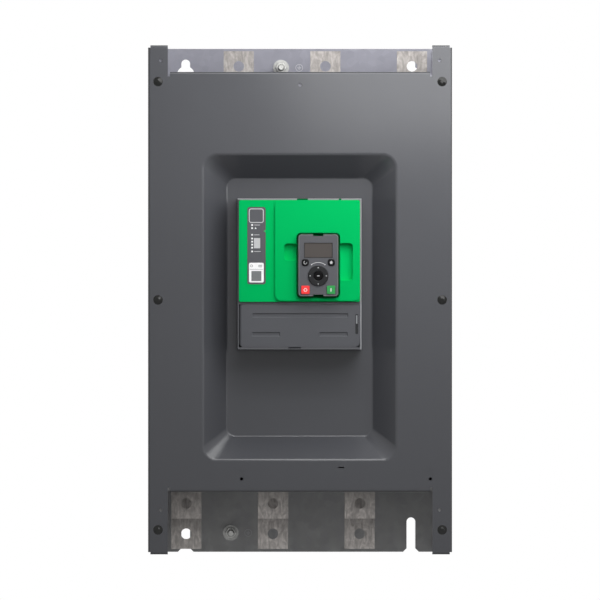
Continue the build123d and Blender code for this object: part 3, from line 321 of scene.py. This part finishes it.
COVER = coated_sheet("powder_coat_grey", srgb("4a4b4f"), 0.22)
# Painted light: the second colour is the paler, more neutral tone painted towards the bottom
ZINC = galvanised("galvanised_sheet", srgb("8b8b94"), srgb("a3a3a2"))
LINE_BARS = busbar("tinned_line_bar", srgb("a49f9b"))
# Painted light: the load and bypass bars are painted paler towards their low ends, out of the
# shade of the cover and of the bar in front
LOAD_BARS = busbar("tinned_load_bar", srgb("b1aca8"), (1.75, -0.33, -0.288))
BYPASS_BARS = busbar("tinned_bypass_bar", srgb("aba6a2"), (1.75, -0.293, -0.252))
SINK = brushed("extruded_aluminium", srgb("c4c5c8"), (1, 1, 30), contrast=0.1)
BOLTS = brushed("zinc_fastener", srgb("b6b6b3"), (2, 2, 2), 0.35, 0.12)
WASHERS = brushed("washer_steel", srgb("a8a8a6"), (2, 2, 2), 0.4, 0.12)
SCREWS = plastic("black_oxide_screw", srgb("0d0e0c"), 0.2, 0.1, specular=0.3)
LID = plastic("module_grey_plastic", LID_GREY)
BASE = plastic("module_base_plastic", BASE_GREY)
DISPLAY = plastic("display_grey_plastic", DISPLAY_GREY, 0.45)
GREEN = plastic("module_green_plastic", MODULE_GREEN, 0.45, 0.15, specular=0.03)
BEZEL = plastic("module_bezel_plastic", MODULE_GREEN, 0.45, 0.15, specular=0.03)
STRIP = plastic("status_film", srgb("535458"), 0.5, 0.1)
LENS = plastic("screen_window", SCREEN_BROWN, 0.16, 0.02, 0.04, specular=0.3)
DARK_KEY = plastic("dark_key", srgb("161718"), 0.22, 0.1, specular=0.15)
WHEEL = plastic("navigation_wheel", WHEEL_BLACK, 0.4, 0.15, specular=0.15)
GLOSS_KEY = plastic("glossy_key", srgb("070708"), 0.16, 0.03, specular=0.12)
RED_KEY = plastic("red_key", srgb("f54040"), 0.4, 0.15, 0.02)
GREEN_KEY = plastic("green_key", srgb("35984f"), 0.4, 0.15, 0.02)
BLACK = plastic("black_moulding", srgb("1d1e20"), 0.5)
MODULE = plastic("module_case_plastic", srgb("2f3033"), 0.5)
INSULATOR = plastic("insulator_moulding", srgb("4b4f55"), 0.5, 0.5)
BOARD = plastic("circuit_board", srgb("1f6b3c"), 0.4, 0.3, 0.12)
TERMINAL = plastic("terminal_moulding", srgb("2a5a3c"), 0.45)
WHITE_INK = printed("white_ink", srgb("e9eaea"))
PALE_INK = printed("pale_ink", srgb("bfbfc0"))
LABEL = printed("white_label", srgb("fcfcfc"), 0.4)
FIELD = printed("label_field", srgb("707274"), 0.4)
GREEN_INK = printed("green_ink", srgb("00b85a"))

# Colours by position: painted highlights on the rim and on the latch slot's edge, painted
# shade in the latch slot and on the bezel's tabs, painted light on the finger grip floors, a
# painted highlight and painted shade and reflection at the display's edge, the screen darker
# at its edge, and the four dots of the wheel
# Painted highlight: the rim's front is painted pale at its top and right
rim = stepped(BASE, Z, srgb("58595c"), [(RIM_TOP, RIM_PAINTED_HIGHLIGHT)])
rim = stepped(BASE, X, rim, [(RIM_RIGHT, RIM_PAINTED_HIGHLIGHT)])
BASE.colour(stepped(BASE, Y, rim, [(RIM_DEPTH, BASE_GREY)]))
# Painted highlight on the latch slot's edge and painted shade on its floor
latch = stepped(LID, Y, LID_GREY, [
    (LATCH_EDGE, srgb("8a8c8f")), (LATCH_SLOT, srgb("2c2d2f")), (LATCH_FLOOR, LID_GREY)])
LID.colour(stepped(LID, X, LID_GREY, [(LATCH_LEFT, latch)]))
# Painted shade: the bezel's tabs at the top are painted dark green
BEZEL.colour(stepped(BEZEL, Z, MODULE_GREEN, [(BEZEL_TABS, srgb("06552e"))]))
# Painted light: the finger grip floors are painted a paler green, against the shade in them
grip_painted_light = between(GREEN, Y, GRIP_FRONT, GRIP_REAR)
GREEN.colour(GREEN.mix(grip_painted_light, MODULE_GREEN, srgb("00c969")))
# Painted highlight on the bevelled edge, and outside it painted shade and painted reflection
# of the green panel
bevel_outside = outside(DISPLAY, DISPLAY_MIDDLE, 51.6 * MM, 80.4 * MM, 3.8 * MM)
bevel_inside = outside(DISPLAY, DISPLAY_MIDDLE, 50.6 * MM, 79.4 * MM, 3.3 * MM)
bevel_painted_light = DISPLAY.mix(bevel_outside, srgb("808185"), srgb("0a3a1e"))
bevel_painted_light = DISPLAY.mix(bevel_inside, DISPLAY_GREY, bevel_painted_light)
DISPLAY.colour(stepped(DISPLAY, Y, bevel_painted_light, [(DISPLAY_DEPTH, DISPLAY_GREY)]))
# The screen is darker towards its edge
screen_dark_edge = outside(LENS, SCREEN_MIDDLE, 35.8 * MM, 18.2 * MM, 0.5 * MM)
LENS.colour(LENS.mix(screen_dark_edge, SCREEN_BROWN, srgb("242221")))
dots = spots(WHEEL, [
    ((WHEEL_MIDDLE[0] + side * WHEEL_DOT_REACH) * MM, WHEEL_DEPTH,
     (WHEEL_MIDDLE[1] + up * WHEEL_DOT_REACH) * MM)
    for side, up in ((1, 0), (-1, 0), (0, 1), (0, -1))
], WHEEL_DOT_RADIUS)
WHEEL.colour(WHEEL.mix(dots, WHEEL_BLACK, srgb("c0c1c2")))

by_look = {
    COVER: ["front_cover"],
    ZINC: ["back_plate", "side_wall_left", "side_wall_right", "top_wall", "bottom_wall",
           "mounting_plate"],
    LINE_BARS: [n for n in nodes if n.startswith("line_bar")],
    LOAD_BARS: [n for n in nodes if n.startswith("load_bar")],
    BYPASS_BARS: [n for n in nodes if n.startswith("bypass_bar")],
    SINK: [n for n in nodes if n.startswith("heatsink")],
    BOLTS: ["bar_bolts", "earth_studs", "earth_nuts", "board_posts"],
    WASHERS: ["earth_washers"],
    SCREWS: ["cover_screws"],
    BASE: ["control_base"],
    LID: ["terminal_cover"],
    DISPLAY: ["display_case"],
    BEZEL: ["control_bezel"],
    GREEN: ["control_panel"],
    STRIP: ["status_strip"],
    LENS: ["screen_lens"],
    DARK_KEY: ["escape_key", "home_key"],
    WHEEL: ["navigation_ring"],
    GLOSS_KEY: ["select_key"],
    RED_KEY: ["stop_key"],
    GREEN_KEY: ["run_key"],
    BLACK: [n for n in nodes if n.startswith(("fan_", "current_transformer"))],
    MODULE: [n for n in nodes if n.startswith("thyristor")],
    INSULATOR: ["upper_bar_support", "lower_bar_support"],
    BOARD: ["power_board", "control_board"],
    TERMINAL: ["terminal_block_left", "terminal_block_right"],
}
for look, names in by_look.items():
    for name in names:
        nodes[name].data.materials.clear()
        nodes[name].data.materials.append(look.material)


# Printed marks and signs: thin raised shapes that face the front, in millimetres
def rounded(width, height, corner, steps=6):
    """Corner points of a rounded rectangle about the origin, anticlockwise."""
    points = []
    for quarter, (sx, sz) in enumerate(((1, 1), (-1, 1), (-1, -1), (1, -1))):
        for step in range(steps + 1):
            turn = pi / 2 * (quarter + step / steps)
            points.append((
                sx * (width / 2 - corner) + corner * cos(turn),
                sz * (height / 2 - corner) + corner * sin(turn),
            ))
    return points


def circle(radius, steps=40):
    """Points round a circle about the origin, anticlockwise."""
    return [(radius * cos(2 * pi * i / steps), radius * sin(2 * pi * i / steps))
            for i in range(steps)]


def arc_line(radius, start, sweep, steps):
    """Points along an arc about the origin, from an angle and through another."""
    turns = [start + sweep * i / steps for i in range(steps + 1)]
    return [(radius * cos(turn), radius * sin(turn)) for turn in turns]


class Marks:
    """Several thin shapes of one material, joined in one piece on one body."""

    def __init__(self, face, height=0.06):
        self.mesh = bmesh.new()
        self.low = -face * MM
        self.high = -(face + height) * MM

    def loop(self, points, place, depth):
        return [self.mesh.verts.new(((x + place[0]) * MM, depth, (z + place[1]) * MM))
                for x, z in points]

    def solid(self, points, place=(0, 0)):
        """A filled shape with a thin edge."""
        low, high = self.loop(points, place, self.low), self.loop(points, place, self.high)
        self.mesh.faces.new(high)
        self.mesh.faces.new(low[::-1])
        for i in range(len(points)):
            j = (i + 1) % len(points)
            self.mesh.faces.new((low[i], low[j], high[j], high[i]))

    def band(self, outer, inner, place=(0, 0), closed=True):
        """A shape between two lines with the same number of points."""
        low_outer, low_inner, high_outer, high_inner = [
            self.loop(line, place, depth)
            for depth in (self.low, self.high) for line in (outer, inner)
        ]
        sides = ((high_outer, high_inner), (low_outer, high_outer),
                 (high_inner, low_inner), (low_inner, low_outer))
        count = len(outer)
        for i in range(count if closed else count - 1):
            j = (i + 1) % count
            for a, b in sides:
                self.mesh.faces.new((a[i], a[j], b[j], b[i]))
        if not closed:
            for i in (0, count - 1):
                self.mesh.faces.new(
                    (low_outer[i], low_inner[i], high_inner[i], high_outer[i]))

    def piece(self, name, body, look):
        """Closes the shapes and puts them on their body as one piece."""
        bmesh.ops.recalc_face_normals(self.mesh, faces=self.mesh.faces)
        data = bpy.data.meshes.new(name)
        self.mesh.to_mesh(data)
        self.mesh.free()
        data.materials.append(look.material)
        made = bpy.data.objects.new(name, data)
        bpy.context.scene.collection.objects.link(made)
        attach(made, body)


# Status strip: a framed field, lines beside the lamp windows, a block and a white label
STRIP_FACE = 288.2
LABEL_HEIGHT = 0.1
LAMP_X = -63.2
LAMP_LEVELS = (98.4, 94.3, 85.5, 80.6, 76.5, 72.6, 68.5, 63.6)
outline = Marks(STRIP_FACE)
outline.band(rounded(19.6, 19.0, 3.2), rounded(17.4, 16.8, 2.1), (-57.7, 110.7))
for line_x, line_z, line_length in (
    (-56.5, 98.4, 7.6), (-57.0, 85.5, 7.0), (-56.2, 63.6, 8.4)
):
    outline.solid(rounded(line_length, 0.8, 0.2, 2), (line_x, line_z))
outline.piece("strip_outline", "cabinet", PALE_INK)
lamps = Marks(STRIP_FACE)
for lamp_z in LAMP_LEVELS:
    lamps.solid(rounded(2.4, 2.2, 0.4, 3), (LAMP_X, lamp_z))
lamps.solid([(-1.3, -1.1), (1.3, -1.1), (0, 1.3)], (-58.7, 94.4))
lamps.piece("strip_lamps", "cabinet", WHITE_INK)
block = Marks(STRIP_FACE)
block.solid(rounded(8.2, 13.4, 0.4, 3), (-56.7, 74.5))
block.piece("strip_block", "cabinet", PALE_INK)
pointer = Marks(STRIP_FACE)
pointer.solid([(1.4, -1.6), (1.4, 1.6), (-1.2, 0)], (-47.0, 90.3))
pointer.piece("strip_pointer", "cabinet", GREEN_INK)
label = Marks(STRIP_FACE, LABEL_HEIGHT)
label.solid(rounded(19.4, 26.0, 2.0), (-57.6, 35.8))
label.piece("strip_label", "cabinet", LABEL)
label_marks = Marks(STRIP_FACE + LABEL_HEIGHT)
label_marks.solid(rounded(13.0, 13.2, 0.4, 3), (-57.6, 31.3))
label_marks.solid(rounded(17.6, 0.5, 0.1, 2), (-57.6, 40.2))
label_marks.band(circle(1.7), circle(1.2), (-64.0, 44.6))
for line_z in (45.4, 43.4):
    label_marks.solid(rounded(5.0, 0.8, 0.2, 2), (-52.6, line_z))
label_marks.piece("strip_label_marks", "cabinet", FIELD)

# Display terminal: an arc with round ends above the wheel
DISPLAY_FACE = 298.2
ARC_RADIUS, ARC_HALF_WIDTH, ARC_LEVEL, ARC_HALF_TURN = 15.2, 0.25, 33.9, 0.617
arc = Marks(DISPLAY_FACE)
arc.band(
    *[arc_line(ARC_RADIUS + side * ARC_HALF_WIDTH, pi / 2 + ARC_HALF_TURN,
               -2 * ARC_HALF_TURN, 40) for side in (1, -1)],
    (WHEEL_MIDDLE[0], ARC_LEVEL),
    closed=False,
)
for side in (-1, 1):
    arc.solid(circle(0.7, 20), (
        WHEEL_MIDDLE[0] + side * ARC_RADIUS * sin(ARC_HALF_TURN),
        ARC_LEVEL + ARC_RADIUS * cos(ARC_HALF_TURN),
    ))
arc.piece("display_arc", "display_terminal", WHITE_INK)

# One plain sign on each key
KEY_FACE = 299.3
HOME_MIDDLE = (40.8, 49.2)
select = Marks(KEY_FACE)
select.solid(rounded(3.4, 0.9, 0.3, 3), WHEEL_MIDDLE)
select.piece("select_sign", "select_key", PALE_INK)
escape = Marks(KEY_FACE)
escape.band(*[arc_line(radius, pi * 0.6, pi * 1.5, 20) for radius in (2.2, 1.6)],
            (6.6, 49.0), closed=False)
escape.piece("escape_sign", "escape_key", PALE_INK)
home = Marks(KEY_FACE)
home.solid([(-2.2, 0), (2.2, 0), (0, 2.2)], HOME_MIDDLE)
home.solid([(-1.5, -2.0), (1.5, -2.0), (1.5, 0), (-1.5, 0)], HOME_MIDDLE)
home.piece("home_sign", "home_key", PALE_INK)
stop = Marks(KEY_FACE)
stop.band(circle(2.3), circle(1.6), (6.8, 13.0))
stop.piece("stop_sign", "stop_key", WHITE_INK)
run = Marks(KEY_FACE)
run.solid(rounded(1.0, 4.6, 0.3, 3), (40.4, 13.1))
run.piece("run_sign", "run_key", WHITE_INK)

# Earth symbols beside the studs
BACK_PLATE_FACE = 2.0
ENGRAVED = printed("engraved_mark", srgb("b8b8bc"), 0.6)


def earth_symbol(name, x, z):
    """A stem over three bars, in a ring."""
    marks = Marks(BACK_PLATE_FACE, 0.05)
    marks.solid(rounded(0.6, 3.0, 0.2, 2), (x, z + 1.6))
    for i, width in enumerate((5.4, 3.6, 1.8)):
        marks.solid(rounded(width, 0.6, 0.2, 2), (x, z - 1.2 * i))
    marks.band(circle(4.9), circle(4.3), (x, z - 0.2))
    marks.piece(name, "cabinet", ENGRAVED)


earth_symbol("earth_symbol_top", 1.2, 310.0)
earth_symbol("earth_symbol_bottom", -66.8, -309.6)


# A white surround and a pale floor, for what the camera and reflections see
def seen_rays(tree):
    """1 for rays from the camera and for reflections of it, and 0 elsewhere."""
    path = tree.nodes.new("ShaderNodeLightPath")
    seen = path.outputs["Is Camera Ray"]
    for kind in ("Is Glossy Ray", "Is Transmission Ray"):
        either = tree.nodes.new("ShaderNodeMath")
        either.operation = "MAXIMUM"
        tree.links.new(seen, either.inputs[0])
        tree.links.new(path.outputs[kind], either.inputs[1])
        seen = either.outputs[0]
    return seen


def choose(tree, factor, first, second):
    """The first shader at 0, the second at 1, and a blend between."""
    choice = tree.nodes.new("ShaderNodeMixShader")
    tree.links.new(factor, choice.inputs[0])
    tree.links.new(first, choice.inputs[1])
    tree.links.new(second, choice.inputs[2])
    return choice.outputs[0]


SURROUND_COLOUR, SURROUND_STRENGTH = (0.93, 0.95, 1.0, 1), 0.2
WHITE = (1, 1, 1, 1)
world = bpy.data.worlds.new("studio")
world.use_nodes = True
bpy.context.scene.world = world
air = world.node_tree
surround = air.nodes["Background"]
surround.inputs["Color"].default_value = SURROUND_COLOUR
surround.inputs["Strength"].default_value = SURROUND_STRENGTH
white = air.nodes.new("ShaderNodeBackground")
white.inputs["Color"].default_value = WHITE
white.inputs["Strength"].default_value = 1.0
sky = choose(air, seen_rays(air), surround.outputs[0], white.outputs[0])
air.links.new(sky, air.nodes["World Output"].inputs["Surface"])

# The floor takes the shadow, glows for the camera, and is clear from below
FLOOR_LEVEL, FLOOR_REACH, FLOOR_GLOW = -0.53, 4, 0.7
floor_mesh = bpy.data.meshes.new("studio_floor")
floor_mesh.from_pydata(
    [(x * FLOOR_REACH, y * FLOOR_REACH, FLOOR_LEVEL)
     for x, y in ((-1, -1), (1, -1), (1, 1), (-1, 1))],
    [], [(0, 1, 2, 3)],
)
FLOOR = printed("pale_floor", (0.4, 0.4, 0.4), 0.9)
glow = FLOOR.node("ShaderNodeEmission", {"Color": WHITE, "Strength": FLOOR_GLOW})
lit = FLOOR.node("ShaderNodeAddShader")
FLOOR.tree.links.new(FLOOR.shader.outputs[0], lit.inputs[0])
FLOOR.tree.links.new(glow.outputs[0], lit.inputs[1])
top_side = choose(FLOOR.tree, seen_rays(FLOOR.tree), FLOOR.shader.outputs[0], lit.outputs[0])
from_below = FLOOR.node("ShaderNodeNewGeometry").outputs["Backfacing"]
clear = FLOOR.node("ShaderNodeBsdfTransparent").outputs[0]
both_sides = choose(FLOOR.tree, from_below, top_side, clear)
FLOOR.tree.links.new(both_sides, FLOOR.tree.nodes["Material Output"].inputs["Surface"])
floor_mesh.materials.append(FLOOR.material)
floor = bpy.data.objects.new("studio_floor", floor_mesh)
bpy.context.scene.collection.objects.link(floor)


def face_point(made, place, target):
    """Puts an object at a place, turned to a point."""
    made.location = place
    turn = (Vector(target) - Vector(place)).to_track_quat("-Z", "Y")
    made.rotation_euler = turn.to_euler()
    bpy.context.scene.collection.objects.link(made)


def softbox(name, place, target, width, height, power):
    """A rectangular lamp that faces a point."""
    lamp = bpy.data.lights.new(name, "AREA")
    lamp.shape = "RECTANGLE"
    lamp.size = width
    lamp.size_y = height
    lamp.energy = power
    made = bpy.data.objects.new(name, lamp)
    made.visible_camera = False
    face_point(made, place, target)


softbox("key_light", (0.25, -0.62, 0.5), (0.07, -0.25, 0.12), 0.75, 0.75, 7.5)
softbox("top_strip", (0, -1.5, 1.7), (0, -0.25, 0), 1.8, 0.12, 6)
softbox("right_strip", (1.7, -1.5, 0), (0, -0.25, 0), 0.08, 1.8, 2)

# Camera: far away and a little to the left of the middle, as the photograph was taken
FRONT_Y = -0.275
CAMERA_DISTANCE = 22.03
SEEN_WIDTH = 0.7896
SENSOR_WIDTH = 36.0
camera = bpy.data.cameras.new("photo_camera")
camera.sensor_width = SENSOR_WIDTH
camera.lens = SENSOR_WIDTH * CAMERA_DISTANCE / SEEN_WIDTH
camera.clip_end = 100.0
eye = bpy.data.objects.new("photo_camera", camera)
face_point(eye, (-0.19, FRONT_Y - CAMERA_DISTANCE, -0.053), (-0.00013, FRONT_Y, -0.0002))
bpy.context.scene.camera = eye
bpy.context.scene.view_settings.view_transform = "Standard"

bpy.context.view_layer.update()
